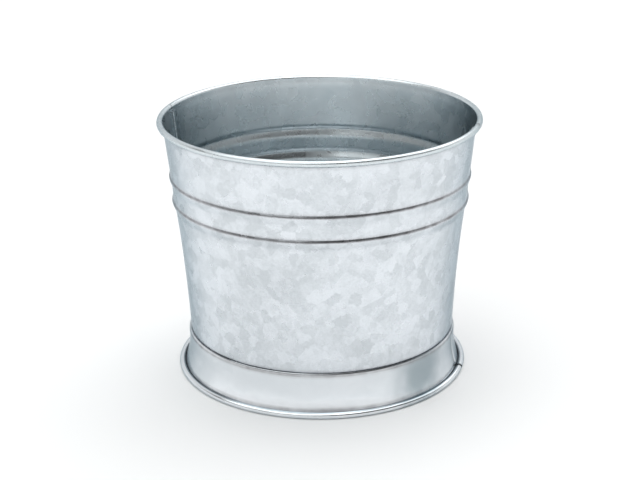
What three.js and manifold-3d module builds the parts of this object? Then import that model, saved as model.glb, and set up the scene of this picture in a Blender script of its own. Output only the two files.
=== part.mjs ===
// Florist bucket in galvanised sheet steel: a tapered pail wall made of two half
// sheets, a wired rim, two pressed rings, a seamed-in base and a flared foot skirt.
// Millimetres, +Z up. The origin is the centre of the ring that the foot stands on,
// and the two side seams lie on +X and -X.

import * as THREE from 'three';
import { mergeVertices } from 'three/addons/utils/BufferGeometryUtils.js';
import Module from 'manifold-3d';

const wasm = await Module();
wasm.setup();

// ---- Driving dimensions ----------------------------------------------------

const height = 195.5;               // floor to the top of the rolled rim
const rimRadius = 120;              // outermost edge of the rolled rim
const waistRadius = 100.5;           // wall at its foot, above the foot skirt
const footRadius = 110.5;           // outermost edge of the rolled foot
const sheet = 0.5;                  // sheet thickness of every pressed piece

const wireRadius = 1.5;             // wire inside the rim and inside the foot
const wireClearance = 0.3;          // air between a wire and the sheet rolled round it
const rimRollEnd = -130;            // where the rolled rim stops, in degrees round its wire
const footRollEnd = 142;            // where the rolled foot stops, in degrees round its wire
const footLand = 1.6;               // width of the flat that the foot stands on

const underRimInset = 4.9;          // rim's edge in to the wall just below the roll
const underRimDrop = 3.6;           // how far below the roll the wall reaches that radius
const upperBandTaper = 3.5;         // how much the wall narrows between the rim and the upper ring
const middleBandTaper = 0.5;        // and between the two rings
const lowerBandHollow = 1.1;        // how far the wall below them curves in from a straight cone

const upperRingDrop = 41;           // rim's wire centre down to the crest of the upper ring
const lowerRingDrop = 59.3;         // rim's wire centre down to the crest of the lower ring
const upperRingStep = 1;            // how much narrower the wall is below the upper ring
const lowerRingStep = 1.4;          // and below the lower ring
const ringRise = 0.9;               // crest of a ring above the wall over it
const ringFlank = 2.4;              // height of a ring's upper flank
const ringTail = 5.6;               // height of a ring's lower flank
const ringRound = 0.7;              // how far from the crest each flank turns upright

const waistHeight = 32;             // floor to the step where the skirt meets the wall
const baseHeight = 18;              // floor to the underside of the base
const seamHeight = 3.2;             // height of the hook that locks the base to the wall
const basePanelInset = 20.3;        // outside of the wall's neck in to the raised middle of the base
const basePanelRise = 1.5;
const basePanelSlope = 3;           // radial width of the step round that middle

const skirtOverhang = 1.4;          // how far the skirt's round top stands out past the wall
const skirtShoulderHeight = 3.2;    // height of the round at the skirt's top
const skirtShoulderDepth = 1;       // radial depth of that round
const skirtShoulderFall = 1;        // how far that round has dropped where its upright face would meet it
const skirtStraight = 4.5;          // upright part of the skirt under its shoulder
const skirtFlareHeight = 11.8;      // where the slope of the skirt's foot meets its upright part

const seamGap = 0.15;               // air between folded layers
const neckClearance = 0.5;          // air between the base seam and the skirt's lap
const sideSeamWidth = 6;            // width of the locked side seams
const rollGap = 0.8;                // opening between the ends of a roll at a seam
const skirtLap = 8;                 // how far the skirt's end passes behind its start
const wireEndGap = 1;               // opening between the ends of a wire ring
const sealantSize = 3.6;            // legs of the sealant fillet inside the base
const sealantThroat = 1.3;          // how far the fillet's hollow face stands off each leg
const sealantClearance = 0.1;

const around = 40;                  // facets round the bucket
const rollFacet = 30;               // degrees turned by one facet of a rolled edge
const foldFacet = 45;               // degrees turned by one facet of a tight fold or a wire
const curveFacets = 3;              // facets of a gentle curve
const flareFacets = 5;              // facets of the skirt's flare
const ringFacets = 2;               // facets of each flank of a ring

// ---- Derived sizes -----------------------------------------------------------

const rollRadius = wireRadius + wireClearance + sheet;
const layer = sheet + seamGap;
const landAngle = THREE.MathUtils.radToDeg(Math.asin(footLand / 2 / rollRadius));
const rimWireHeight = height - rollRadius;
const rimWireRing = rimRadius - rollRadius;
const footWireHeight = rollRadius * Math.cos(THREE.MathUtils.degToRad(landAngle));
const footWireRing = footRadius - rollRadius;
const underRimRadius = rimRadius - underRimInset;
const underRimHeight = height - 2 * rollRadius - underRimDrop;
const upperBandFootRadius = underRimRadius - upperBandTaper;
const middleBandTopRadius = upperBandFootRadius - upperRingStep;
const middleBandFootRadius = middleBandTopRadius - middleBandTaper;
const lowerBandTopRadius = middleBandFootRadius - lowerRingStep;
const skirtCrestRadius = waistRadius + skirtOverhang;
const flareRun = footWireRing - skirtCrestRadius + sheet;
const flareFall = skirtFlareHeight - footWireHeight;
const skirtFlareAngle = THREE.MathUtils.radToDeg(Math.atan2(flareRun, flareFall)
  - Math.asin(rollRadius / Math.hypot(flareRun, flareFall)));
const baseSeamRadius = skirtCrestRadius - sheet - layer - neckClearance;
const neckRadius = baseSeamRadius - 2 * layer - seamGap - sheet;
const basePanelRadius = neckRadius - basePanelInset;
const foldBend = sheet + (sheet + 2 * seamGap) / 2;
const wallFootHeight = baseHeight + sheet + seamGap;
const hookTop = wallFootHeight + foldBend + seamHeight;
const reach = 2 * rimRadius;        // length of a cutting box, past every solid

// ---- Outlines ----------------------------------------------------------------
// An outline is the line of one face of a sheet, as (radius, height) points, with the
// sheet's thickness on the left of its direction of travel.

const at = (radius, z) => new THREE.Vector2(radius, z);

// The point at an angle on a circle, in degrees.
function onCircle(centre, radius, degrees) {
  const angle = THREE.MathUtils.degToRad(degrees);
  return at(centre.x + radius * Math.cos(angle), centre.y + radius * Math.sin(angle));
}

// Points on a circle from one angle to another, about one facet's turn apart.
function arc(centre, radius, fromAngle, toAngle, facet) {
  const steps = Math.ceil((toAngle - fromAngle) / facet);
  return Array.from({ length: steps + 1 }, (_, i) => onCircle(centre, radius,
    THREE.MathUtils.lerp(fromAngle, toAngle, i / steps)));
}

// Points on a quadratic curve, without its two ends.
function curveBetween(start, control, end, steps) {
  return new THREE.QuadraticBezierCurve(start, control, end).getPoints(steps).slice(1, -1);
}

// The outline and its parallel one sheet away, joined into a closed loop.
function sheetLoop(face) {
  const parallel = face.map((point, i) => {
    const before = point.clone().sub(face[Math.max(i - 1, 0)]).normalize();
    const after = face[Math.min(i + 1, face.length - 1)].clone().sub(point).normalize();
    const from = i === 0 ? after : before;
    const to = i === face.length - 1 ? before : after;
    const normal = at(-from.y - to.y, from.x + to.x).normalize();
    const lean = normal.dot(at(-to.y, to.x));
    return point.clone().addScaledVector(normal, sheet / lean);
  });
  return [...face, ...parallel.reverse()];
}

// A ring pressed outwards, whose crest is a drop below the rim's wire, between the
// radius of the wall over it and the radius of the wall under it.
function ring(drop, overRadius, underRadius) {
  const crest = at(overRadius + ringRise, rimWireHeight - drop);
  const start = at(overRadius, crest.y + ringFlank);
  const end = at(underRadius, crest.y - ringTail);
  return [
    start,
    ...curveBetween(start, at(crest.x, crest.y + ringRound), crest, ringFacets),
    crest,
    ...curveBetween(crest, at(crest.x, crest.y - ringRound), end, ringFacets),
    end,
  ];
}

// The wall's three bands and two rings, from under the rim to the waist, on the line
// that lies a depth in from the wall's outside.
function wallBands(depth) {
  const upperRing = ring(upperRingDrop, upperBandFootRadius, middleBandTopRadius);
  const lowerRing = ring(lowerRingDrop, middleBandFootRadius, lowerBandTopRadius);
  const lowerTop = lowerRing.at(-1);
  const waist = at(waistRadius, waistHeight + sheet);
  const middle = lowerTop.clone().add(waist).divideScalar(2);
  const control = middle.clone().sub(at(2 * lowerBandHollow, 0));
  return [
    at(underRimRadius, underRimHeight),
    ...upperRing,
    ...lowerRing,
    ...curveBetween(lowerTop, control, waist, curveFacets),
    waist,
  ].map((point) => at(point.x - depth, point.y));
}

function wallOutline() {
  const wireCentre = at(rimWireRing, rimWireHeight);
  const hookCentre = at(neckRadius - sheet + foldBend, wallFootHeight + foldBend);
  return sheetLoop([
    ...arc(wireCentre, rollRadius, rimRollEnd, 0, rollFacet),
    ...arc(wireCentre, rollRadius, 0, 180, rollFacet).slice(1),
    ...wallBands(sheet),
    at(neckRadius - sheet, waistHeight + sheet),
    ...arc(hookCentre, foldBend, 180, 360, foldFacet),
    at(hookCentre.x + foldBend, hookTop),
  ]);
}

// The base's edge turns up outside the wall's hook and folds down into it.
function baseOutline() {
  const foldCentre = at(baseSeamRadius - foldBend, hookTop);
  return sheetLoop([
    at(0, baseHeight + basePanelRise),
    at(basePanelRadius, baseHeight + basePanelRise),
    at(basePanelRadius + basePanelSlope, baseHeight),
    at(baseSeamRadius - sheet, baseHeight),
    at(baseSeamRadius, baseHeight + sheet),
    ...arc(foldCentre, foldBend, 0, 180, foldFacet),
    at(foldCentre.x - foldBend, wallFootHeight + foldBend),
  ]);
}

// The inside of the skirt from its shoulder to its rolled foot, moved in by a depth.
function skirtFlare(depth) {
  const start = at(skirtCrestRadius - sheet - depth,
    waistHeight - skirtShoulderHeight - skirtStraight);
  const end = onCircle(at(footWireRing, footWireHeight), rollRadius + depth,
    180 + skirtFlareAngle);
  const rise = (end.x - start.x) / Math.tan(THREE.MathUtils.degToRad(skirtFlareAngle));
  return [start, ...curveBetween(start, at(start.x, end.y + rise), end, flareFacets), end];
}

function skirtOutline() {
  const wireCentre = at(footWireRing, footWireHeight);
  const lipHeight = waistHeight - seamGap - sheet;
  const shoulderFoot = at(skirtCrestRadius - sheet, waistHeight - skirtShoulderHeight);
  const shoulderTop = at(skirtCrestRadius - skirtShoulderDepth, lipHeight);
  const shoulderCorner = at(shoulderFoot.x, shoulderTop.y - skirtShoulderFall);
  return sheetLoop([
    at(neckRadius + seamGap, lipHeight),
    shoulderTop,
    ...curveBetween(shoulderTop, shoulderCorner, shoulderFoot, curveFacets),
    shoulderFoot,
    ...skirtFlare(0).slice(0, -1),
    ...arc(wireCentre, rollRadius, 180 + skirtFlareAngle, 270 - landAngle, rollFacet),
    ...arc(wireCentre, rollRadius, 270 + landAngle, 360, rollFacet),
    ...arc(wireCentre, rollRadius, 360, 360 + footRollEnd, rollFacet).slice(1),
  ]);
}

function sealantOutline() {
  const wall = neckRadius - sheet - sealantClearance;
  const floor = baseHeight + sheet + sealantClearance;
  return [
    at(wall - sealantSize, floor),
    at(wall, floor),
    at(wall, floor + sealantSize),
    at(wall - sealantThroat, floor + sealantThroat),
  ];
}

// ---- Solids --------------------------------------------------------------------

function solid(geometry) {
  const bare = geometry.clone();
  bare.deleteAttribute('normal');
  bare.deleteAttribute('uv');
  const merged = mergeVertices(bare);
  const index = merged.index.array;
  const triangles = [];
  for (let i = 0; i < index.length; i += 3) {
    const [a, b, c] = index.slice(i, i + 3);
    if (a !== b && b !== c && c !== a) triangles.push(a, b, c);
  }
  return new wasm.Manifold(new wasm.Mesh({
    numProp: 3,
    vertProperties: new Float32Array(merged.attributes.position.array),
    triVerts: new Uint32Array(triangles),
  }));
}

// A closed outline turned round the bucket's axis.
function turned(outline) {
  const onAxis = outline[0].x === 0;
  const points = onAxis ? outline : [...outline, outline[0]];
  return solid(new THREE.LatheGeometry(points, around).rotateX(Math.PI / 2));
}

// A box between two corners.
function block([x0, y0, z0], [x1, y1, z1]) {
  const box = new THREE.BoxGeometry(x1 - x0, y1 - y0, z1 - z0);
  return solid(box.translate((x0 + x1) / 2, (y0 + y1) / 2, (z0 + z1) / 2));
}

// Part of a folded layer beside the +X side: the ring between two depths in from a
// face line, kept between two distances across the seam.
function foldedStrip(faceLine, fromDepth, toDepth, fromY, toY) {
  const outer = faceLine(fromDepth);
  const inner = faceLine(toDepth);
  const ring = turned([...inner, ...outer.reverse()]);
  return ring.intersect(block([0, fromY, 0], [reach, toY, height]));
}

// One half of the wall, on the -Y side. At +X it carries the outer hook of the locked
// seam and at -X the inner hook, so two equal halves lock when one is turned half round.
function wallSheet() {
  const half = sideSeamWidth / 2;
  const bend = half + sheet;
  const joggle = bend + seamGap;
  const topOfSeam = underRimHeight;
  const footOfSeam = waistHeight + sheet;
  const depth = (layers) => layers * layer;
  const strip = (from, to, y0, y1) => foldedStrip(wallBands, from, to, y0, y1);

  const outerHook = strip(0, sheet, -joggle, half)
    .add(strip(0, depth(2) + sheet, half, bend))
    .add(strip(depth(2), depth(2) + sheet, -half + seamGap, half + sheet / 2));
  const innerHook = strip(0, depth(3) + sheet, joggle, joggle + sheet)
    .add(strip(depth(3), depth(3) + sheet, -half, joggle + sheet / 2))
    .add(strip(depth(1), depth(3) + sheet, -half - sheet + seamGap, -half + seamGap / 2))
    .add(strip(depth(1), depth(1) + sheet, -half, half - seamGap));

  const seamSpan = (x0, x1, y0, y1) => block([x0, y0, footOfSeam], [x1, y1, topOfSeam]);
  return turned(wallOutline())
    .intersect(block([-reach, -reach, 0], [reach, -rollGap / 2, height]))
    .subtract(seamSpan(-reach, 0, -joggle - sheet / 2, 0))
    .add(outerHook)
    .add(innerHook.rotate([0, 0, 180]));
}

// The skirt is one strip. Its end passes behind its start in a lap at +X.
function skirt() {
  const aboveRoll = flareFacets;
  const lapLine = (depth) => skirtFlare(depth - sheet).slice(0, aboveRoll);
  const lap = (from, to, y0, y1) => foldedStrip(lapLine, from, to, y0, y1);
  const slit = block([0, -seamGap, 0], [reach, seamGap, height]);
  const notch = block([0, -rollGap / 2, 0], [reach, rollGap / 2, footWireHeight + rollRadius]);
  const tongue = lap(layer, layer + sheet, -skirtLap, seamGap + sheet)
    .add(lap(0, layer + sheet, seamGap, seamGap + sheet));
  return turned(skirtOutline()).subtract(slit).subtract(notch).add(tongue);
}

// A ring of wire whose ends almost meet on the +Y side.
function wire(ringRadius, z) {
  const section = arc(at(ringRadius, z), wireRadius, 0, 360, foldFacet).slice(0, -1);
  const gap = block([-wireEndGap / 2, 0, z - rollRadius], [wireEndGap / 2, reach, z + rollRadius]);
  return turned(section).subtract(gap);
}

// ---- Named parts -----------------------------------------------------------------

const bucket = new THREE.Group();

function addPart(name, body, finish) {
  const { vertProperties, triVerts } = body.getMesh();
  const geometry = new THREE.BufferGeometry();
  geometry.setAttribute('position', new THREE.BufferAttribute(vertProperties, 3));
  geometry.setIndex(new THREE.BufferAttribute(triVerts, 1));
  geometry.computeVertexNormals();
  const mesh = new THREE.Mesh(geometry, new THREE.MeshStandardMaterial(finish));
  mesh.name = name;
  bucket.add(mesh);
}

const spangledZinc = { color: 0xd6dde2, roughness: 0.38, metalness: 0.9 };
const smoothZinc = { color: 0xcfd8dc, roughness: 0.3, metalness: 0.9 };
const wireZinc = { color: 0xb4bcc0, roughness: 0.5, metalness: 0.9 };
const greySealant = { color: 0x9a9d9b, roughness: 0.7, metalness: 0 };

addPart('wall_sheet_front', wallSheet(), spangledZinc);
addPart('wall_sheet_back', wallSheet().rotate([0, 0, 180]), spangledZinc);
addPart('rim_wire', wire(rimWireRing, rimWireHeight), wireZinc);
addPart('base_disc', turned(baseOutline()), spangledZinc);
addPart('base_sealant', turned(sealantOutline()), greySealant);
addPart('foot_skirt', skirt(), smoothZinc);
addPart('foot_wire', wire(footWireRing, footWireHeight), wireZinc);

export default bucket;
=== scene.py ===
"""A florist bucket in galvanised sheet steel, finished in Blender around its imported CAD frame.

Metres, +Z up, in the frame of the CAD model: the origin is the centre of the ring that the
foot stands on, and the side seams lie on +X and -X. Every CAD node is replaced by a finer
mesh of the same piece. A sheet piece is a line of its cross-section, swept round the axis
and given the sheet's thickness, with its seams folded as a tinsmith folds them.
"""

import math

import bpy
import numpy as np
from mathutils import Matrix, Vector


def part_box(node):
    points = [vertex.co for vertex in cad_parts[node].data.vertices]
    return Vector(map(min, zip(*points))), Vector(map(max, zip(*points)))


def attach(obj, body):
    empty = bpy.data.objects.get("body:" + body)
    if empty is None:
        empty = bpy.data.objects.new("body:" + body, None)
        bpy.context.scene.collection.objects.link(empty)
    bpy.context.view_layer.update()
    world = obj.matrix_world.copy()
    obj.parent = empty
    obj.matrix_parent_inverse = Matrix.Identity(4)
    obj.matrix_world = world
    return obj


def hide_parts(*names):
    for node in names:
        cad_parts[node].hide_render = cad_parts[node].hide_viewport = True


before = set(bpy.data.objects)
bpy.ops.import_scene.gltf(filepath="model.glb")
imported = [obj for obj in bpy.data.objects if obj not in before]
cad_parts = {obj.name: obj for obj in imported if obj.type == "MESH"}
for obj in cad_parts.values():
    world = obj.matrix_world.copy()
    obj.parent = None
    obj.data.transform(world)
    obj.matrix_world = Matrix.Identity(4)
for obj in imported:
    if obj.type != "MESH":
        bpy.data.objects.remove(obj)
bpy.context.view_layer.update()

# ---- Sizes --------------------------------------------------------------------------------

MM = 0.001
SHEET = 0.5 * MM
SEAM_GAP = 0.15 * MM
LAYER = SHEET + SEAM_GAP
WIRE_CLEARANCE = 0.3 * MM

WALL_LOW, WALL_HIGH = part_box("wall_sheet_back")
SKIRT_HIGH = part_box("foot_skirt")[1]
BASE_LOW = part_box("base_disc")[0]
WIRE_LOW, WIRE_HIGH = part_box("rim_wire")

TOP = WALL_HIGH.z
RIM_RADIUS = WALL_HIGH.y
FOOT_RADIUS = SKIRT_HIGH.y
WIRE_RADIUS = (WIRE_HIGH.z - WIRE_LOW.z) / 2
ROLL_RADIUS = WIRE_RADIUS + WIRE_CLEARANCE + SHEET
RIM_WIRE = (RIM_RADIUS - ROLL_RADIUS, TOP - ROLL_RADIUS)
RIM_ROLL_END = -130
FOOT_ROLL_END = 142
FOOT_LAND = 1.6 * MM
LAND_ANGLE = math.degrees(math.asin(FOOT_LAND / 2 / ROLL_RADIUS))
FOOT_WIRE = (FOOT_RADIUS - ROLL_RADIUS, ROLL_RADIUS * math.cos(math.radians(LAND_ANGLE)))
ROLL_GAP = 0.8 * MM

# The wall's outside, from the rim down.
UNDER_RIM = (RIM_RADIUS - 4.9 * MM, TOP - 2 * ROLL_RADIUS - 3.6 * MM)
UPPER_BAND_FOOT = UNDER_RIM[0] - 3.5 * MM
MIDDLE_BAND_TOP = UPPER_BAND_FOOT - 1.0 * MM
MIDDLE_BAND_FOOT = MIDDLE_BAND_TOP - 0.5 * MM
LOWER_BAND_TOP = MIDDLE_BAND_FOOT - 1.4 * MM
LOWER_BAND_HOLLOW = 1.1 * MM
UPPER_RING = RIM_WIRE[1] - 41 * MM
LOWER_RING = RIM_WIRE[1] - 59.3 * MM
RING_RISE = 0.9 * MM
RING_FLANK = 2.4 * MM
RING_TAIL = 5.6 * MM
RING_ROUND = 0.7 * MM
WAIST_HEIGHT = SKIRT_HIGH.z + SEAM_GAP
WAIST_RADIUS = 100.5 * MM

# The skirt, and the seam that locks the base to the wall inside it.
SKIRT_CREST = WAIST_RADIUS + 1.4 * MM
SHOULDER_HEIGHT = 3.2 * MM
SHOULDER_DEPTH = 1.0 * MM
SHOULDER_FALL = 1.0 * MM
SKIRT_STRAIGHT = 4.5 * MM
SKIRT_FLARE_HEIGHT = 11.8 * MM
SKIRT_LAP = 8 * MM
NECK_CLEARANCE = 0.5 * MM
BASE_SEAM_RADIUS = SKIRT_CREST - SHEET - LAYER - NECK_CLEARANCE
NECK_RADIUS = BASE_SEAM_RADIUS - 2 * LAYER - SEAM_GAP - SHEET
FOLD_BEND = SHEET + (SHEET + 2 * SEAM_GAP) / 2
BASE_HEIGHT = BASE_LOW.z
WALL_FOOT = WALL_LOW.z
HOOK_TOP = WALL_FOOT + FOLD_BEND + 3.2 * MM
BASE_PANEL_RADIUS = NECK_RADIUS - 20.3 * MM
BASE_PANEL_RISE = 1.5 * MM
BASE_PANEL_SLOPE = 3 * MM
SEALANT_SIZE = 3.6 * MM
SEALANT_THROAT = 1.3 * MM
SEALANT_CLEARANCE = 0.1 * MM
SIDE_SEAM_HALF = 3 * MM
SEAM_WIDTH = SIDE_SEAM_HALF + 3 * SHEET + SEAM_GAP
WIRE_END_GAP = 1 * MM

# Where the plain wall starts beside a seam, in degrees, and how many rows the folds of a seam
# start over the top of the bands, and stop short of their foot and of the skirt's roll.
SEAM_ANGLE = 3.5
HOOK_RISE = 3
HOOK_MARGIN = 2
LAP_MARGIN = 3

LAP_WIDTH = 4.5 * MM        # the slope of the skirt's under layer up to its outside
CLIP_LENGTH = 8 * MM        # length of the clipped corner of a roll, along the sheet
CLIP_DEPTH = 1.8 * MM       # how far that corner is cut back
SHARP_BEND = SHEET          # bend radius of the middle of the sheet at a folded corner
EDGE_MERGE = 1e-7           # points nearer than this are one point
SEALANT_STEPS = 300
SEALANT_UNEVEN = 0.12
SEALANT_WAVES = [(5, 0), (13, 1)]    # waves round the bucket, and phase

# The waves left in hand-rolled sheet: waves round the bucket, phase over its height, phase, size.
WAVES = [(3, 9, 0.6, 1.0), (7, -6, 2.1, 0.7), (12, 14, 0.0, 0.5), (23, -9, 0.0, 0.3)]
WALL_WAVE = 0.10 * MM
SKIRT_WAVE = 0.05 * MM

# Rubbed rings, and rings at the crevices darkened by painted shade and dirt, as (radius, height,
# share), and how far from them each one shows.
WEAR_REACH = 0.9 * MM
WORN_RINGS = [(RIM_WIRE[0], TOP, 1),
              (FOOT_RADIUS, FOOT_WIRE[1], 1)]
SHADE_DIRT_REACH = 1.1 * MM
SHADED_DIRTY_RINGS = [(RIM_WIRE[0] - ROLL_RADIUS, RIM_WIRE[1] - ROLL_RADIUS, 1),
               (UNDER_RIM[0] + RING_RISE, UNDER_RIM[1] + RING_TAIL / 2, 0.6),
               (UPPER_BAND_FOOT + RING_RISE / 2, UPPER_RING + RING_FLANK / 2, 1),
               (MIDDLE_BAND_FOOT + RING_RISE / 2, LOWER_RING + RING_FLANK / 2, 1),
               (WAIST_RADIUS, WAIST_HEIGHT, 0.6),
               (SKIRT_CREST, WAIST_HEIGHT - SHOULDER_HEIGHT * 0.6, 0.85),
               (FOOT_WIRE[0] - ROLL_RADIUS, FOOT_WIRE[1] + ROLL_RADIUS, 1),
               (NECK_RADIUS - SHEET, BASE_HEIGHT + SHEET, 1)]
GROOVE_REACH = 0.9 * MM     # the same for the painted shade in the open groove of the skirt's lap
NOTCH_REACH = 1.1 * MM      # and for the painted shade in the notch in the rim at the +X seam
LINING_LESS_SHADE_DIRT = 0.8          # how much less of the painted shade and dirt shows inside the bucket
LINED_NODES = ("wall_sheet_front", "wall_sheet_back")

# Fineness of the meshes.
LONGEST_STEP = 2.2 * MM
COLUMN_ANGLE = 1.5
ROLL_ANGLE = 9
FOLD_ANGLE = 18
CURVE_STEPS = 12
RING_STEPS = 6
WIRE_SIDES = 24
WIRE_STEPS = 360
SEAM_COLUMNS = 4
SHARP_ANGLE = 38

# ---- Lines --------------------------------------------------------------------------------
# A line is an array of (radius, height) points, or of (across, depth) points at a seam.


def on_circle(centre, radius, degrees):
    angle = math.radians(degrees)
    return (centre[0] + radius * math.cos(angle), centre[1] + radius * math.sin(angle))


def arc(centre, radius, start, end, step):
    """Points on a circle from one angle to another, in degrees."""
    count = max(2, math.ceil(abs(end - start) / step))
    return [on_circle(centre, radius, a) for a in np.linspace(start, end, count + 1)]


def curve(start, control, end, steps):
    """Points on a quadratic curve, its two ends included."""
    start, control, end = (np.array(p, float) for p in (start, control, end))
    ts = np.linspace(0, 1, steps + 1)
    return [tuple(start * (1 - t) ** 2 + control * 2 * t * (1 - t) + end * t * t) for t in ts]


def bent(corners, radius):
    """A line of straights whose inner corners are rounded to a bend radius."""
    points = [np.array(c, float) for c in corners]
    line = [tuple(points[0])]
    for before, corner, after in zip(points, points[1:], points[2:]):
        to_before = (before - corner) / np.linalg.norm(before - corner)
        to_after = (after - corner) / np.linalg.norm(after - corner)
        half = math.acos(max(-1.0, min(1.0, float(to_before @ to_after)))) / 2
        setback = radius / math.tan(half)
        line += curve(corner + to_before * setback, corner, corner + to_after * setback,
                      RING_STEPS)
    return line + [tuple(points[-1])]


def joined(*lines):
    """Lines end to end, without doubled points, and with long steps divided."""
    points = [np.array(p, float) for line in lines for p in line]
    made = [points[0]]
    for point in points[1:]:
        step = point - made[-1]
        length = np.linalg.norm(step)
        if length < EDGE_MERGE:
            continue
        parts = math.ceil(length / LONGEST_STEP)
        origin = made[-1]
        made += [origin + step * (i / parts) for i in range(1, parts + 1)]
    return np.array(made)


def normals(line):
    """Unit normals on the left of the line's direction of travel."""
    steps = np.diff(line, axis=0)
    steps /= np.linalg.norm(steps, axis=1)[:, None]
    tangents = np.concatenate([steps[:1], steps[:-1] + steps[1:], steps[-1:]])
    tangents /= np.linalg.norm(tangents, axis=1)[:, None]
    return np.stack([-tangents[:, 1], tangents[:, 0]], axis=1)


def ring(height, over, under):
    """The outside of a ring pressed outwards, from the band over it to the band under it."""
    crest = (over + RING_RISE, height)
    start = (over, height + RING_FLANK)
    end = (under, height - RING_TAIL)
    return (curve(start, (crest[0], height + RING_ROUND), crest, RING_STEPS)
            + curve(crest, (crest[0], height - RING_ROUND), end, RING_STEPS))


def wall_bands():
    """The middle of the wall's sheet from under the rim to the waist."""
    lower_top = (LOWER_BAND_TOP, LOWER_RING - RING_TAIL)
    waist = (WAIST_RADIUS, WAIST_HEIGHT + SHEET)
    control = ((lower_top[0] + waist[0]) / 2 - 2 * LOWER_BAND_HOLLOW,
               (lower_top[1] + waist[1]) / 2)
    outside = joined(
        [UNDER_RIM],
        ring(UPPER_RING, UPPER_BAND_FOOT, MIDDLE_BAND_TOP),
        ring(LOWER_RING, MIDDLE_BAND_FOOT, LOWER_BAND_TOP),
        curve(lower_top, control, waist, CURVE_STEPS),
    )
    return outside - (SHEET / 2, 0)


def wall_lines():
    """The middle of the wall's sheet in three stretches: rolled rim, bands, and neck."""
    middle_roll = ROLL_RADIUS - SHEET / 2
    bands = wall_bands()
    rim = joined(arc(RIM_WIRE, middle_roll, RIM_ROLL_END, 180, ROLL_ANGLE), [bands[0]])
    neck_middle = NECK_RADIUS - SHEET / 2
    hook_middle = FOLD_BEND - SHEET / 2
    hook_centre = (neck_middle + hook_middle, WALL_FOOT + FOLD_BEND)
    step_height = WAIST_HEIGHT + SHEET / 2
    step = bent([bands[-1], (bands[-1][0], step_height), (neck_middle, step_height),
                 (neck_middle, hook_centre[1])], SHARP_BEND)
    neck = joined([bands[-1]], step[1:],
                  arc(hook_centre, hook_middle, 180, 360, FOLD_ANGLE),
                  [(hook_centre[0] + hook_middle, HOOK_TOP)])
    return rim, bands, neck


def base_line():
    """The middle of the base's sheet from its centre to the fold in the wall's hook."""
    half = SHEET / 2
    leg = BASE_SEAM_RADIUS - half
    floor = BASE_HEIGHT + half
    fold_centre = (BASE_SEAM_RADIUS - FOLD_BEND, HOOK_TOP)
    disc = bent([(0, floor + BASE_PANEL_RISE), (BASE_PANEL_RADIUS, floor + BASE_PANEL_RISE),
                 (BASE_PANEL_RADIUS + BASE_PANEL_SLOPE, floor), (leg, floor),
                 (leg, HOOK_TOP)], SHARP_BEND)
    fold = arc(fold_centre, FOLD_BEND - half, 0, 180, FOLD_ANGLE)
    return joined(disc, fold, [(fold_centre[0] - FOLD_BEND + half, WALL_FOOT + FOLD_BEND)])


def skirt_line():
    """The middle of the skirt's sheet from its shoulder's foot to the roll, and its slope there."""
    middle = SHEET / 2
    run = FOOT_WIRE[0] - SKIRT_CREST + SHEET
    fall = SKIRT_FLARE_HEIGHT - FOOT_WIRE[1]
    angle = math.atan2(run, fall) - math.asin(ROLL_RADIUS / math.hypot(run, fall))
    start = (SKIRT_CREST - middle, WAIST_HEIGHT - SHOULDER_HEIGHT - SKIRT_STRAIGHT)
    end = on_circle(FOOT_WIRE, ROLL_RADIUS - middle, 180 + math.degrees(angle))
    control = (start[0], end[1] + (end[0] - start[0]) / math.tan(angle))
    flare = curve(start, control, end, CURVE_STEPS)
    return joined([(start[0], WAIST_HEIGHT - SHOULDER_HEIGHT)], flare), math.degrees(angle)


def skirt_lines():
    """The middle of the skirt's sheet in three stretches: shoulder, flare, and rolled foot."""
    middle_roll = ROLL_RADIUS - SHEET / 2
    flare, angle = skirt_line()
    lip = WAIST_HEIGHT - SEAM_GAP - SHEET / 2
    top = (SKIRT_CREST - SHOULDER_DEPTH, lip)
    shoulder = joined([(NECK_RADIUS + SEAM_GAP, lip)],
                      curve(top, (flare[0][0], lip - SHOULDER_FALL), flare[0], CURVE_STEPS))
    roll = joined([flare[-1]],
                  arc(FOOT_WIRE, middle_roll, 180 + angle, 270 - LAND_ANGLE, ROLL_ANGLE),
                  arc(FOOT_WIRE, middle_roll, 270 + LAND_ANGLE, 360 + FOOT_ROLL_END, ROLL_ANGLE))
    return shoulder, flare, roll


def sealant_line():
    wall = NECK_RADIUS - SHEET - SEALANT_CLEARANCE
    floor = BASE_HEIGHT + SHEET + SEALANT_CLEARANCE
    hollow = (wall - SEALANT_THROAT, floor + SEALANT_THROAT)
    face = curve((wall, floor + SEALANT_SIZE), hollow, (wall - SEALANT_SIZE, floor),
                 CURVE_STEPS)
    return joined(face, [(wall, floor), (wall, floor + SEALANT_SIZE)])


# ---- Folds at the side seam ------------------------------------------------------------------
# A fold is the middle line of a sheet across a seam, as (across, depth) points: across runs
# anticlockwise round the bucket from the seam's centre, depth goes inwards from the wall.


def outer_hook():
    """From the sheet that comes clockwise of the seam, over it, and back two layers in."""
    centre = (SIDE_SEAM_HALF + SHEET / 2 - LAYER, LAYER)
    turn = arc(centre, LAYER, -90, 90, FOLD_ANGLE)
    return joined([(-ROLL_GAP / 2, 0)], turn, [(SEAM_GAP - SIDE_SEAM_HALF, 2 * LAYER)])


def inner_hook():
    """From inside the outer hook, round its end, along the inside and out to the wall."""
    centre = (LAYER - SHEET / 2 - SIDE_SEAM_HALF, 2 * LAYER)
    turn = arc(centre, LAYER, 270, 90, FOLD_ANGLE)
    riser = SIDE_SEAM_HALF + SHEET + SEAM_GAP + SHEET / 2
    end = (SIDE_SEAM_HALF - SEAM_GAP, LAYER)
    joggle = bent([turn[-1], (riser, 3 * LAYER), (riser, 0), (SEAM_WIDTH, 0)], SHARP_BEND)
    return joined([end], turn, joggle)


# ---- Sheet meshes ------------------------------------------------------------------------------


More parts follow.
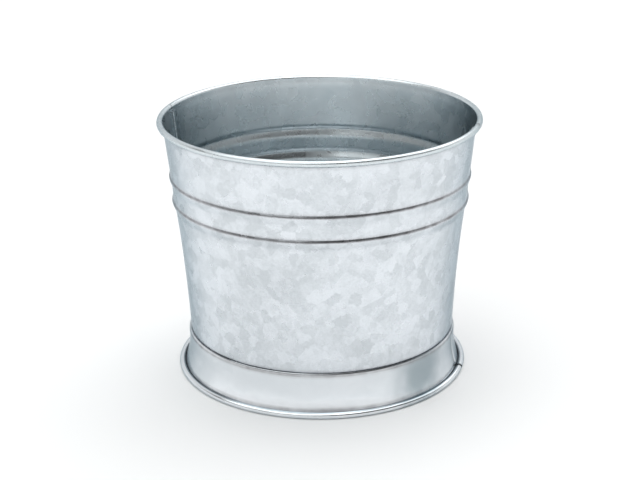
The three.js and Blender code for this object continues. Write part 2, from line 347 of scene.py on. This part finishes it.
class Sheet:
    """A sheet of metal made of grids. Each grid point is a pair, one point on each face."""

    def __init__(self):
        self.pairs = {}
        self.points = []
        self.quads = []

    def pair(self, front, back):
        key = tuple(np.round(np.concatenate([front, back]) / EDGE_MERGE).astype(int))
        if key not in self.pairs:
            self.pairs[key] = len(self.points) // 2
            self.points += [tuple(front), tuple(back)]
        return self.pairs[key]

    def grid(self, front, back):
        """Adds a grid from two arrays of points, rows along the cross-section's line."""
        index = [[self.pair(f, b) for f, b in zip(fs, bs)] for fs, bs in zip(front, back)]
        for upper, lower in zip(index, index[1:]):
            for j in range(len(upper) - 1):
                self.quads.append((upper[j], lower[j], lower[j + 1], upper[j + 1]))

    def faces(self):
        """Both faces of the sheet, and the cut edge wherever a grid has no neighbour."""
        made = []
        edges = {}
        for quad in self.quads:
            ring_of = [p for p, q in zip(quad, quad[1:] + quad[:1]) if p != q]
            if len(ring_of) < 3:
                continue
            made.append([2 * p for p in ring_of])
            made.append([2 * p + 1 for p in reversed(ring_of)])
            for a, b in zip(ring_of, ring_of[1:] + ring_of[:1]):
                edges[(a, b)] = (a, b)
        for a, b in edges.values():
            if (b, a) not in edges:
                made.append([2 * b, 2 * a, 2 * a + 1, 2 * b + 1])
        return made


def swept(line, normal, columns, clip=None):
    """The outer and the inner face of a sheet: its line at each column round the axis.

    A column is a seam's azimuth, the distance across from there, the depth in from the wall,
    the way the outer face leans there, as (across, outwards), and its share of the clip, which
    is how far each row's end is cut back."""
    azimuth, across, depth, lean, share = (np.array(part) for part in zip(*columns))
    if clip is not None:
        across = across + clip[:, None] * share
    radius, height = line[:, :1], line[:, 1:]
    faces = []
    for offset in (SHEET / 2, -SHEET / 2):
        r = radius - depth + offset * normal[:, :1] * lean[:, 1]
        angle = azimuth + (across + offset * lean[:, 0]) / np.maximum(radius, MM)
        z = height + offset * normal[:, 1:] * lean[:, 1]
        faces.append(np.stack([r * np.cos(angle), r * np.sin(angle), z], axis=2))
    return faces


def flat_columns(azimuth, distances, clipped=None):
    """Columns in the plain wall, at distances across from a seam. The clipped one is cut back."""
    return [(math.radians(azimuth), across, 0.0, (0.0, 1.0),
             math.copysign(1, across) if i == clipped else 0.0)
            for i, across in enumerate(distances)]


def even_columns(start, end):
    """Columns in the plain wall at equal angles between two azimuths."""
    count = math.ceil((end - start) / COLUMN_ANGLE)
    return [(math.radians(a), 0.0, 0.0, (0.0, 1.0), 0.0)
            for a in np.linspace(start, end, count + 1)]


def folded_columns(azimuth, fold):
    """Columns that follow a fold across a seam."""
    return [(math.radians(azimuth), across, depth, (-lean[0], lean[1]), 0.0)
            for (across, depth), lean in zip(fold, normals(fold))]


def between_seams(start, start_across, end, end_across):
    """The plain wall's columns from beside one seam to beside the next."""
    return (flat_columns(start, [start_across])
            + even_columns(start + SEAM_ANGLE, end - SEAM_ANGLE)
            + flat_columns(end, [end_across], clipped=0))


def clip_of(line, wire, foot):
    """How far a roll's corner is cut back at each row: most at its free edge, none past it."""
    from_wire = np.linalg.norm(line - np.array(wire), axis=1)
    on_roll = from_wire < ROLL_RADIUS
    along = np.cumsum(np.linalg.norm(np.diff(line, axis=0, prepend=line[:1]), axis=1))
    free_edge = along[-1] if foot else 0.0
    fade = np.clip(1 - np.abs(along - free_edge) / CLIP_LENGTH, 0, 1)
    return CLIP_DEPTH * fade * on_roll


def add_grids(sheet, line, normal, clip, parts):
    for rows, columns in parts:
        sheet.grid(*swept(line[rows], normal[rows], columns, clip[rows]))


def wall_sheet(start):
    """Half of the wall, anticlockwise from a seam: inner hook there, outer hook at its end."""
    lines = wall_lines()
    line = np.concatenate([lines[0], lines[1][1:], lines[2][1:]])
    top = len(lines[0]) - HOOK_RISE
    foot = len(lines[0]) + len(lines[1]) - HOOK_MARGIN
    end = start + 180
    tab = flat_columns(start, np.linspace(ROLL_GAP / 2, SEAM_WIDTH, SEAM_COLUMNS), clipped=0)
    hooked = slice(top, foot)
    sheet = Sheet()
    add_grids(sheet, line, normals(line), clip_of(line, RIM_WIRE, foot=False), [
        (slice(None), between_seams(start, SEAM_WIDTH, end, -ROLL_GAP / 2)),
        (slice(0, top + 1), tab),
        (slice(foot - 1, None), tab),
        (hooked, folded_columns(start, inner_hook())),
        (hooked, folded_columns(end, outer_hook())),
    ])
    return sheet


def skirt_sheet():
    """The skirt: one strip whose end passes behind its start at the +X seam."""
    lines = skirt_lines()
    line = np.concatenate([lines[0], lines[1][1:], lines[2][1:]])
    flare = len(lines[0])
    roll = flare + len(lines[1]) - LAP_MARGIN
    middle = LAP_WIDTH / 2
    lap = joined([(-SKIRT_LAP, LAYER)],
                 curve((SEAM_GAP, LAYER), (middle / 2, LAYER), (middle, LAYER / 2), RING_STEPS),
                 curve((middle, LAYER / 2), (middle * 3 / 2, 0), (LAP_WIDTH - SHEET, 0),
                       RING_STEPS),
                 [(LAP_WIDTH, 0)])
    under_layer = np.linspace(ROLL_GAP / 2, LAP_WIDTH, SEAM_COLUMNS)
    sheet = Sheet()
    add_grids(sheet, line, normals(line), clip_of(line, FOOT_WIRE, foot=True), [
        (slice(None), between_seams(0, LAP_WIDTH, 360, -ROLL_GAP / 2)),
        (slice(0, roll), flat_columns(360, [-ROLL_GAP / 2, -SEAM_GAP])),
        (slice(0, flare), flat_columns(0, np.linspace(SEAM_GAP, LAP_WIDTH, SEAM_COLUMNS))),
        (slice(flare - 1, roll), folded_columns(0, lap)),
        (slice(roll - 1, None), flat_columns(0, under_layer, clipped=0)),
    ])
    return sheet


def base_sheet():
    sheet = Sheet()
    line = base_line()[::-1]
    sheet.grid(*swept(line, normals(line), even_columns(0, 360)))
    return sheet


def tube(centre, radius, gap, azimuth):
    """A ring of round wire with a gap at an azimuth, as points and faces."""
    half_gap = gap / 2 / centre[0]
    angles = np.linspace(math.radians(azimuth) + half_gap,
                         math.radians(azimuth + 360) - half_gap, WIRE_STEPS + 1)
    section = [on_circle(centre, radius, a) for a in np.arange(WIRE_SIDES) * 360 / WIRE_SIDES]
    points = [(r * math.cos(a), r * math.sin(a), z) for a in angles for r, z in section]
    faces = tube_faces(len(angles), WIRE_SIDES, closed=False)
    last = (len(angles) - 1) * WIRE_SIDES
    faces.append(list(range(WIRE_SIDES)))
    faces.append([last + i for i in reversed(range(WIRE_SIDES))])
    return points, faces


def tube_faces(count, sides, closed):
    faces = []
    for i in range(count if closed else count - 1):
        here = i * sides
        there = (i + 1) % count * sides
        for j in range(sides):
            k = (j + 1) % sides
            faces.append([here + j, there + j, there + k, here + k])
    return faces


def bead(line, count):
    """A closed cross-section swept round the axis, a little uneven as a bead laid by hand."""
    points = []
    corner = line.max(axis=0)[0], line.min(axis=0)[1]
    for azimuth in np.linspace(0, 2 * math.pi, count, endpoint=False):
        waves = sum(math.sin(turns * azimuth + phase) for turns, phase in SEALANT_WAVES)
        size = 1 + SEALANT_UNEVEN * waves / len(SEALANT_WAVES)
        for r, z in line[:-1]:
            radius = corner[0] + (r - corner[0]) * size
            height = corner[1] + (z - corner[1]) * size
            points.append((radius * math.cos(azimuth), radius * math.sin(azimuth), height))
    return points, tube_faces(count, len(line) - 1, closed=True)


# ---- Pieces --------------------------------------------------------------------------------------


def wavy(points, low, high, amount):
    """The slight waves of hand-rolled sheet, between two heights, along the radius."""
    x, y, z = np.array(points).T
    azimuth = np.arctan2(y, x)
    radius = np.hypot(x, y)
    level = np.clip((z - low) / (high - low), 0, 1)
    window = np.sqrt(np.sin(math.pi * level))
    wave = sum(size * np.sin(count * azimuth + rise * level + phase)
               for count, rise, phase, size in WAVES)
    scale = 1 + amount * window * wave / np.maximum(radius, MM)
    return np.stack([x * scale, y * scale, z], axis=1)


def closeness(points, rings, reach):
    """How near each point lies to any of some rings, from 0 far off to a ring's own share."""
    section = np.stack([np.hypot(points[:, 0], points[:, 1]), points[:, 2]], axis=1)
    near = np.zeros(len(points))
    for *place, share in rings:
        distance = np.linalg.norm(section - np.array(place), axis=1)
        near = np.maximum(near, share * np.exp(-(distance / reach) ** 2))
    return near


def seam_closeness(points, node):
    """How near each point lies to the skirt's open lap, or to the notches in the rim's roll, where
    painted shade darkens the zinc.
    """
    x, y, z = points.T
    if node == "foot_skirt":
        in_groove = (x > 0) & (z < WAIST_HEIGHT - SHOULDER_FALL)
        return np.exp(-((y - SEAM_GAP) / GROOVE_REACH) ** 2) * in_groove
    if node in LINED_NODES:
        return np.exp(-(y / NOTCH_REACH) ** 2) * (x > RIM_WIRE[0]) * (z > TOP - 2 * ROLL_RADIUS)
    return np.zeros(len(points))


def add_piece(node, points, faces, material):
    """A finished mesh that stands for a CAD node."""
    points = np.array(points, float)
    mesh = bpy.data.meshes.new(node + "_mesh")
    mesh.from_pydata([tuple(p) for p in points], [], faces)
    mesh.shade_smooth()
    mesh.set_sharp_from_angle(angle=math.radians(SHARP_ANGLE))
    inside = np.arange(len(points)) % 2 * (node in LINED_NODES)
    # Painted shade, with some dirt, darkens the crevices by the rings, and painted shade the skirt's
    # groove and the rim's notches; less of it shows inside.
    shade_dirt_mask = closeness(points, SHADED_DIRTY_RINGS, SHADE_DIRT_REACH) * (1 - LINING_LESS_SHADE_DIRT * inside)
    shade_dirt_mask = np.maximum(shade_dirt_mask, seam_closeness(points, node))
    for name, values in (("wear", closeness(points, WORN_RINGS, WEAR_REACH)),
                         ("shade_dirt_mask", shade_dirt_mask), ("inside", inside)):
        layer = mesh.attributes.new(name, "FLOAT", "POINT")
        layer.data.foreach_set("value", values.astype(np.float32))
    mesh.materials.append(material)
    piece = bpy.data.objects.new(node + "_finished", mesh)
    bpy.context.scene.collection.objects.link(piece)
    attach(piece, "root")
    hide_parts(node)
    return piece


def build_bucket():
    spangled = spangled_zinc()
    smooth = smooth_zinc()
    wire = wire_zinc()
    for node, start in (("wall_sheet_front", 180), ("wall_sheet_back", 0)):
        sheet = wall_sheet(start)
        points = wavy(sheet.points, WAIST_HEIGHT + SHEET, UNDER_RIM[1], WALL_WAVE)
        add_piece(node, points, sheet.faces(), spangled)
    skirt = skirt_sheet()
    add_piece("foot_skirt", wavy(skirt.points, 2 * ROLL_RADIUS, WAIST_HEIGHT - SHEET, SKIRT_WAVE),
              skirt.faces(), smooth)
    base = base_sheet()
    add_piece("base_disc", base.points, base.faces(), base_zinc())
    add_piece("base_sealant", *bead(sealant_line(), SEALANT_STEPS), sealant())
    for node, centre in (("rim_wire", RIM_WIRE), ("foot_wire", FOOT_WIRE)):
        add_piece(node, *tube(centre, WIRE_RADIUS, WIRE_END_GAP, 90), wire)


# ---- Materials ------------------------------------------------------------------------------------


class Shader:
    """A new material, with one call for each node of its tree."""

    def __init__(self, name):
        self.material = bpy.data.materials.new(name)
        self.material.use_nodes = True
        self.tree = self.material.node_tree
        self.tree.nodes.clear()

    def node(self, kind, inputs=None, **settings):
        """A node, with its settings, and values or links for its inputs."""
        made = self.tree.nodes.new("ShaderNode" + kind)
        for name, value in settings.items():
            setattr(made, name, value)
        for name, value in (inputs or {}).items():
            if isinstance(value, bpy.types.NodeSocket):
                self.tree.links.new(value, made.inputs[name])
            else:
                made.inputs[name].default_value = value
        return made

    def math(self, operation, a, b=0.0, clamp=False):
        return self.node("Math", {0: a, 1: b}, operation=operation, use_clamp=clamp).outputs[0]

    def vector(self, operation, a, b=None, scale=None):
        inputs = {0: a}
        if b is not None:
            inputs[1] = b
        if scale is not None:
            inputs["Scale"] = scale
        return self.node("VectorMath", inputs, operation=operation).outputs[0]

    def remap(self, value, low, high, to_low=0.0, to_high=1.0):
        return self.node("MapRange", {"Value": value, "From Min": low, "From Max": high,
                                      "To Min": to_low, "To Max": to_high}).outputs["Result"]

    def mix(self, factor, a, b, blend="MIX"):
        made = self.node("Mix", data_type="RGBA", blend_type=blend)
        for name, value in ((0, factor), (6, a), (7, b)):
            if isinstance(value, bpy.types.NodeSocket):
                self.tree.links.new(value, made.inputs[name])
            else:
                made.inputs[name].default_value = value
        return made.outputs[2]

    def noise(self, vector, size, detail=2.0):
        """Noise whose features are about a size across, in metres."""
        return self.node("TexNoise", {"Vector": vector, "Scale": 1 / size,
                                      "Detail": detail}).outputs["Fac"]

    def spread(self, noise, low=0.0, high=1.0):
        """Noise, nearly all of which lies from 0.3 to 0.7, spread over a range."""
        return self.remap(noise, 0.3, 0.7, low, high)

    def centred(self, colour):
        """A random colour as a vector about zero."""
        return self.vector("SUBTRACT", colour, (0.5, 0.5, 0.5))

    def channel(self, colour, index):
        return self.node("SeparateColor", {"Color": colour}).outputs[index]

    def attribute(self, name):
        return self.node("Attribute", attribute_name=name).outputs["Fac"]

    def finish(self, surface):
        self.node("OutputMaterial", {"Surface": surface})
        return self.material


def rgb(red, green, blue):
    return (red, green, blue, 1.0)


GRAZING_TINT = rgb(0.44, 0.50, 0.53)
LINING_BRIGHT = rgb(0.705, 0.755, 0.78)
LINING_DULL = rgb(0.665, 0.72, 0.745)
RUBBED = rgb(0.86, 0.88, 0.89)
# A painted dark reflection on the skirt's right side: its colour, centre, size and ragged edge.
SHADE_DIRT_COLOUR = rgb(0.21, 0.20, 0.21)
REFLECTION_PAINT = rgb(0.30, 0.36, 0.39)
REFLECTION_CENTRE = (0.0898, -0.0525, 0.017)
REFLECTION_HEART = 6 * MM        # the painted reflection is at its darkest within this distance of the centre
REFLECTION_REACH = 36 * MM       # and not at all past this one
REFLECTION_RAG_SIZE = 18 * MM
REFLECTION_RAG = 5 * MM          # how ragged its edge is

# The crystals, as shares of a crystal: how many waves of noise or cells cross its size, how far
# the noise pushes its outline, and the size of the feathering in it.
COARSE_FRAY = 1.6
FINE_FRAY = 9
COARSE_PUSH = 0.9
FINE_PUSH = 0.45
LARGE_CELLS = 0.55
SMALL_CELLS = 1.5
FEATHER_SIZE = 0.3

# How much each thing adds to the zinc's tone, and the size of its clouds.
LARGE_TONE = 0.55
SMALL_TONE = 0.25
FEATHER_TONE = (-0.08, 0.28)
CLOUD_TONE = 0.2
CLOUD_SIZE = 45 * MM

# Rubbing, and the painted shade and dirt of the crevices: how much of either shows at most, and the
# size of its specks.
RUB_SHARE = 0.6
RUB_SIZE = 6 * MM
SHADE_DIRT_SHARE = (0.5, 0.95)
SHADE_DIRT_SIZE = 8 * MM

# How much each thing adds to the zinc's roughness.
SMEAR_MATT = 0.04
SMEAR_SIZE = 20 * MM
SHADE_DIRT_MATT = 0.05
LINING_MATT = 0.03

SMALL_LEAN = 0.6            # tilt of a small crystal, as a share of a large one's
LINING_LEAN = 0.3           # tilt of a crystal of the lining, as a share of one outside
GRAIN_SIZE = 0.6 * MM
GRAIN_DEPTH = 0.04 * MM
GRAIN_STRENGTH = 0.12
FEATHER_GRAIN = 0.6


def painted_reflection_of(s, place):
    """A soft-edged patch round a point of the skirt: a painted dark reflection."""
    away = s.node("VectorMath", {0: place, 1: REFLECTION_CENTRE}, operation="DISTANCE").outputs["Value"]
    away = s.math("ADD", away, s.spread(s.noise(place, REFLECTION_RAG_SIZE), -REFLECTION_RAG, REFLECTION_RAG))
    return s.node("MapRange", {"Value": away, "From Min": REFLECTION_HEART, "From Max": REFLECTION_REACH,
                               "To Min": 1.0, "To Max": 0.0},
                  interpolation_type="SMOOTHSTEP").outputs["Result"]


def crystals(s, place, size):
    """Large and small crystals, each a random colour, and the feathering inside them."""
    coarse = s.node("TexNoise", {"Vector": place, "Scale": COARSE_FRAY / size, "Detail": 3.0})
    fine = s.node("TexNoise", {"Vector": place, "Scale": FINE_FRAY / size, "Detail": 2.0})
    frayed = place
    for noise, push in ((coarse, COARSE_PUSH), (fine, FINE_PUSH)):
        shift = s.vector("SCALE", s.centred(noise.outputs["Color"]), scale=size * push)
        frayed = s.vector("ADD", frayed, shift)
    large, small = (s.node("TexVoronoi", {"Vector": frayed, "Scale": cells / size}).outputs["Color"]
                    for cells in (LARGE_CELLS, SMALL_CELLS))
    feather = s.noise(s.vector("ADD", frayed, large), size * FEATHER_SIZE, 3.0)
    return large, small, feather


def tone_of(s, place, large, small, feather, contrast):
    """How bright the zinc is, from 0 to 1: by crystal, by feathering and in soft clouds."""
    tone = s.math("ADD", s.math("MULTIPLY", s.channel(large, 0), LARGE_TONE),
                  s.math("MULTIPLY", s.channel(small, 1), SMALL_TONE))
    tone = s.math("ADD", tone, s.spread(feather, *FEATHER_TONE))
    tone = s.math("ADD", tone, s.spread(s.noise(place, CLOUD_SIZE), -CLOUD_TONE, CLOUD_TONE))
    return s.remap(tone, 0.5 - 0.5 / contrast, 0.5 + 0.5 / contrast)


def rub_of(s, place):
    """How far the zinc is rubbed bright, in specks along its worn edges."""
    specks = s.remap(s.noise(place, RUB_SIZE), 0.35, 0.65)
    rub = s.math("MULTIPLY", s.attribute("wear"), specks, clamp=True)
    return s.math("MULTIPLY", rub, RUB_SHARE)


def shade_dirt_of(s, place):
    """How far painted shade and dirt darken the zinc, unevenly, in its corners and crevices."""
    uneven = s.spread(s.noise(place, SHADE_DIRT_SIZE, 3.0), *SHADE_DIRT_SHARE)
    return s.math("MULTIPLY", s.attribute("shade_dirt_mask"), uneven)


def roughness_of(s, place, large, shade_dirt, inside, roughness, scuff):
    matt = s.remap(s.channel(large, 1), 0, 1, roughness - scuff, roughness + scuff)
    matt = s.math("ADD", matt, s.spread(s.noise(place, SMEAR_SIZE, 3.0), -SMEAR_MATT, SMEAR_MATT))
    matt = s.math("ADD", matt, s.math("MULTIPLY", shade_dirt, SHADE_DIRT_MATT), clamp=True)
    return s.math("ADD", matt, s.math("MULTIPLY", inside, LINING_MATT))


def normal_of(s, place, large, small, feather, inside, tilt):
    """The surface's normal, tilted crystal by crystal, with a fine grain."""
    lean = s.vector("ADD", s.centred(large),
                    s.vector("SCALE", s.centred(small), scale=SMALL_LEAN))
    lean = s.vector("SCALE", lean, scale=s.remap(inside, 0, 1, tilt, tilt * LINING_LEAN))
    normal = s.vector("ADD", s.node("NewGeometry").outputs["Normal"], lean)
    grain = s.math("ADD", s.noise(place, GRAIN_SIZE), s.math("MULTIPLY", feather, FEATHER_GRAIN))
    return s.node("Bump", {"Height": grain, "Strength": GRAIN_STRENGTH, "Distance": GRAIN_DEPTH,
                           "Normal": s.vector("NORMALIZE", normal)}).outputs[0]


def zinc(name, bright, dull, crystal, contrast, tilt, roughness, scuff, painted_reflection=0.0):
    """Hot-dip zinc: crystals of a size, each with its own tone, roughness and tilt.

    The lining is the same coat inside the bucket, where its colour and tilt are more even."""
    s = Shader(name)
    place = s.node("TexCoord").outputs["Object"]
    inside = s.attribute("inside")
    large, small, feather = crystals(s, place, crystal)
    tone = tone_of(s, place, large, small, feather, contrast)
    shade_dirt = shade_dirt_of(s, place)
    colour = s.mix(tone, dull, bright)
    # A painted dark reflection on the skirt.
    colour = s.mix(s.math("MULTIPLY", painted_reflection_of(s, place), painted_reflection), colour, REFLECTION_PAINT)
    colour = s.mix(inside, colour, s.mix(tone, LINING_DULL, LINING_BRIGHT))
    colour = s.mix(rub_of(s, place), colour, RUBBED)
    # Painted shade and dirt in the crevices.
    colour = s.mix(shade_dirt, colour, SHADE_DIRT_COLOUR)
    return s.finish(s.node("BsdfPrincipled", {
        "Base Color": colour,
        "Metallic": 1.0,
        "Roughness": roughness_of(s, place, large, shade_dirt, inside, roughness, scuff),
        "Normal": normal_of(s, place, large, small, feather, inside, tilt),
        "Specular Tint": GRAZING_TINT,
    }).outputs[0])


def spangled_zinc():
    return zinc("spangled_zinc", bright=rgb(0.76, 0.795, 0.835), dull=rgb(0.60, 0.635, 0.665),
                crystal=4.4 * MM, contrast=1.5, tilt=0.05, roughness=0.24, scuff=0.05)


def base_zinc():
    """The same coat gone dull, as on sheet that stands in water."""
    return zinc("base_zinc", bright=rgb(0.50, 0.535, 0.56), dull=rgb(0.36, 0.39, 0.41),
                crystal=5.5 * MM, contrast=1.3, tilt=0.06, roughness=0.40, scuff=0.05)


def smooth_zinc():
    # The skirt's zinc, with a painted dark reflection on its right side.
    return zinc("smooth_zinc", bright=rgb(0.80, 0.83, 0.86), dull=rgb(0.73, 0.765, 0.795),
                crystal=9 * MM, contrast=1.0, tilt=0.025, roughness=0.2, scuff=0.03,
                painted_reflection=0.85)


def wire_zinc():
    """Drawn wire with a fine grain, dulled by its zinc."""
    s = Shader("wire_zinc")
    place = s.node("TexCoord").outputs["Object"]
    blotch = s.noise(place, 4 * MM, 3.0)
    colour = s.mix(s.remap(blotch, 0.35, 0.65), rgb(0.30, 0.31, 0.32), rgb(0.52, 0.55, 0.56))
    matt = s.spread(blotch, 0.42, 0.6)
    normal = s.node("Bump", {"Height": s.noise(place, 0.5 * MM), "Strength": 0.2,
                             "Distance": 0.05 * MM}).outputs[0]
    return s.finish(s.node("BsdfPrincipled", {
        "Base Color": colour, "Metallic": 1.0, "Roughness": matt, "Normal": normal,
    }).outputs[0])


def sealant():
    """Matt grey seam sealant with a faint skin of ripples and dust."""
    s = Shader("sealant")
    place = s.node("TexCoord").outputs["Object"]
    dust = s.remap(s.noise(place, 10 * MM, 4.0), 0.35, 0.65)
    colour = s.mix(dust, rgb(0.26, 0.27, 0.27), rgb(0.38, 0.385, 0.38))
    matt = s.remap(dust, 0, 1, 0.45, 0.75)
    normal = s.node("Bump", {"Height": s.noise(place, 2.5 * MM, 3.0), "Strength": 0.5,
                             "Distance": 0.3 * MM}).outputs[0]
    return s.finish(s.node("BsdfPrincipled", {
        "Base Color": colour, "Roughness": matt, "Normal": normal,
    }).outputs[0])


def pale_floor():
    s = Shader("pale_floor")
    place = s.node("TexCoord").outputs["Object"]
    shade = s.spread(s.noise(place, 0.5))
    colour = s.mix(shade, rgb(0.90, 0.90, 0.90), rgb(0.92, 0.92, 0.92))
    return s.finish(s.node("BsdfPrincipled", {
        "Base Color": colour, "Roughness": 0.9, "Specular IOR Level": 0.1,
    }).outputs[0])


# ---- Studio ---------------------------------------------------------------------------------------

CAMERA_AZIMUTH = -75.0
CAMERA_DISTANCE = 1.0895
CAMERA_ABOVE_RIM = 0.304
CAMERA_PITCH = 20.2
CAMERA_ROLL = 0.573
CAMERA_LENS = 85.94
CAMERA_SHIFT = -0.0013
FLOOR_SIZE = 8.0
MIRROR_BOUNCES = 10


def add_camera():
    azimuth, pitch, roll = (math.radians(a) for a in (CAMERA_AZIMUTH, CAMERA_PITCH, CAMERA_ROLL))
    outward = Vector((math.cos(azimuth), math.sin(azimuth), 0))
    right = Vector((-math.sin(azimuth), math.cos(azimuth), 0))
    forward = -outward * math.cos(pitch) - Vector((0, 0, math.sin(pitch)))
    up = right.cross(forward)
    turned_right = right * math.cos(roll) - up * math.sin(roll)
    turned_up = up * math.cos(roll) + right * math.sin(roll)
    turn = Matrix((turned_right, turned_up, -forward)).transposed()
    data = bpy.data.cameras.new("camera")
    data.lens = CAMERA_LENS
    data.shift_x = CAMERA_SHIFT
    camera = bpy.data.objects.new("camera", data)
    place = outward * CAMERA_DISTANCE + Vector((0, 0, RIM_WIRE[1] + CAMERA_ABOVE_RIM))
    camera.matrix_world = Matrix.Translation(place) @ turn.to_4x4()
    bpy.context.scene.collection.objects.link(camera)
    bpy.context.scene.camera = camera


def add_floor():
    half = FLOOR_SIZE / 2
    mesh = bpy.data.meshes.new("floor_mesh")
    corners = [(-half, -half, 0), (half, -half, 0), (half, half, 0), (-half, half, 0)]
    mesh.from_pydata(corners, [], [(0, 1, 2, 3)])
    mesh.materials.append(pale_floor())
    floor = bpy.data.objects.new("floor", mesh)
    bpy.context.scene.collection.objects.link(floor)


# Each softbox's azimuth from the camera's side, to its right, its elevation, power and colour.
SOFTBOXES = [("key", -50, 62, 128, (0.97, 1.0, 1.0)),
             ("fill", 130, 65, 122, (0.99, 1.0, 1.0))]
SOFTBOX_DISTANCE = 4.5
SOFTBOX_SIZE = 6.0


def add_softbox(name, azimuth, elevation, power, colour):
    """A square soft light that faces the bucket."""
    around, above = math.radians(CAMERA_AZIMUTH + azimuth), math.radians(elevation)
    data = bpy.data.lights.new(name, "AREA")
    data.shape = "SQUARE"
    data.size = SOFTBOX_SIZE
    data.energy = power
    data.color = colour
    light = bpy.data.objects.new(name, data)
    back = Vector((math.cos(around) * math.cos(above), math.sin(around) * math.cos(above),
                   math.sin(above)))
    light.location = back * SOFTBOX_DISTANCE + Vector((0, 0, TOP / 2))
    light.rotation_mode = "QUATERNION"
    light.rotation_quaternion = back.to_track_quat("Z", "Y")
    light.visible_camera = False
    bpy.context.scene.collection.objects.link(light)


# How bright the room is at each elevation, from the horizon (0) to overhead (1), as the sine,
# on the camera's side and on the far side.
NEAR_ROOM = [(0.0, 1.1), (0.16, 1.1), (0.28, 0.40), (0.38, 0.02), (0.68, 0.03), (0.83, 0.5),
             (1.0, 0.6)]
FAR_ROOM = [(0.0, 1.1), (0.16, 1.1), (0.30, 0.95), (0.44, 0.9), (0.64, 0.85), (0.83, 0.8),
            (1.0, 0.9)]
NEAR_ROOM_END = -0.1        # cosine to the far side where the camera's side of the room ends
FAR_ROOM_START = 0.6        # and where the far side of it starts
BACKDROP = (0.93, 0.93, 0.93, 1)


def room_ramp(tree, height, levels):
    ramp = tree.nodes.new("ShaderNodeValToRGB")
    ramp.color_ramp.interpolation = "B_SPLINE"
    stops = ramp.color_ramp.elements
    while len(stops) < len(levels):
        stops.new(0.5)
    for stop, (sine, level) in zip(stops, levels):
        stop.position = sine
        stop.color = (level, level, level, 1)
    tree.links.new(height, ramp.inputs[0])
    return ramp.outputs[0]


def add_room():
    """The studio as the metal sees it, and a plain pale backdrop as the camera sees it."""
    world = bpy.data.worlds.new("studio")
    world.use_nodes = True
    bpy.context.scene.world = world
    tree = world.node_tree
    tree.nodes.clear()
    place = tree.nodes.new("ShaderNodeTexCoord")
    axes = tree.nodes.new("ShaderNodeSeparateXYZ")
    near = room_ramp(tree, axes.outputs["Z"], NEAR_ROOM)
    far = room_ramp(tree, axes.outputs["Z"], FAR_ROOM)
    side = tree.nodes.new("ShaderNodeVectorMath")
    side.operation = "DOT_PRODUCT"
    azimuth = math.radians(CAMERA_AZIMUTH)
    side.inputs[1].default_value = (-math.cos(azimuth), -math.sin(azimuth), 0)
    share = tree.nodes.new("ShaderNodeMapRange")
    share.interpolation_type = "SMOOTHSTEP"
    share.inputs["From Min"].default_value = NEAR_ROOM_END
    share.inputs["From Max"].default_value = FAR_ROOM_START
    blend = tree.nodes.new("ShaderNodeMix")
    blend.data_type = "RGBA"
    room = tree.nodes.new("ShaderNodeBackground")
    backdrop = tree.nodes.new("ShaderNodeBackground")
    backdrop.inputs["Color"].default_value = BACKDROP
    path = tree.nodes.new("ShaderNodeLightPath")
    choose = tree.nodes.new("ShaderNodeMixShader")
    out = tree.nodes.new("ShaderNodeOutputWorld")
    link = tree.links.new
    link(place.outputs["Generated"], axes.inputs[0])
    link(place.outputs["Generated"], side.inputs[0])
    link(side.outputs["Value"], share.inputs["Value"])
    link(share.outputs["Result"], blend.inputs[0])
    link(near, blend.inputs[6])
    link(far, blend.inputs[7])
    link(blend.outputs[2], room.inputs["Color"])
    link(path.outputs["Is Camera Ray"], choose.inputs[0])
    link(room.outputs[0], choose.inputs[1])
    link(backdrop.outputs[0], choose.inputs[2])
    link(choose.outputs[0], out.inputs["Surface"])


def build_studio():
    add_camera()
    add_floor()
    add_room()
    for name, azimuth, elevation, power, colour in SOFTBOXES:
        add_softbox(name, azimuth, elevation, power, colour)
    bpy.context.scene.view_settings.view_transform = "Standard"
    bpy.context.scene.cycles.glossy_bounces = MIRROR_BOUNCES


build_studio()
build_bucket()
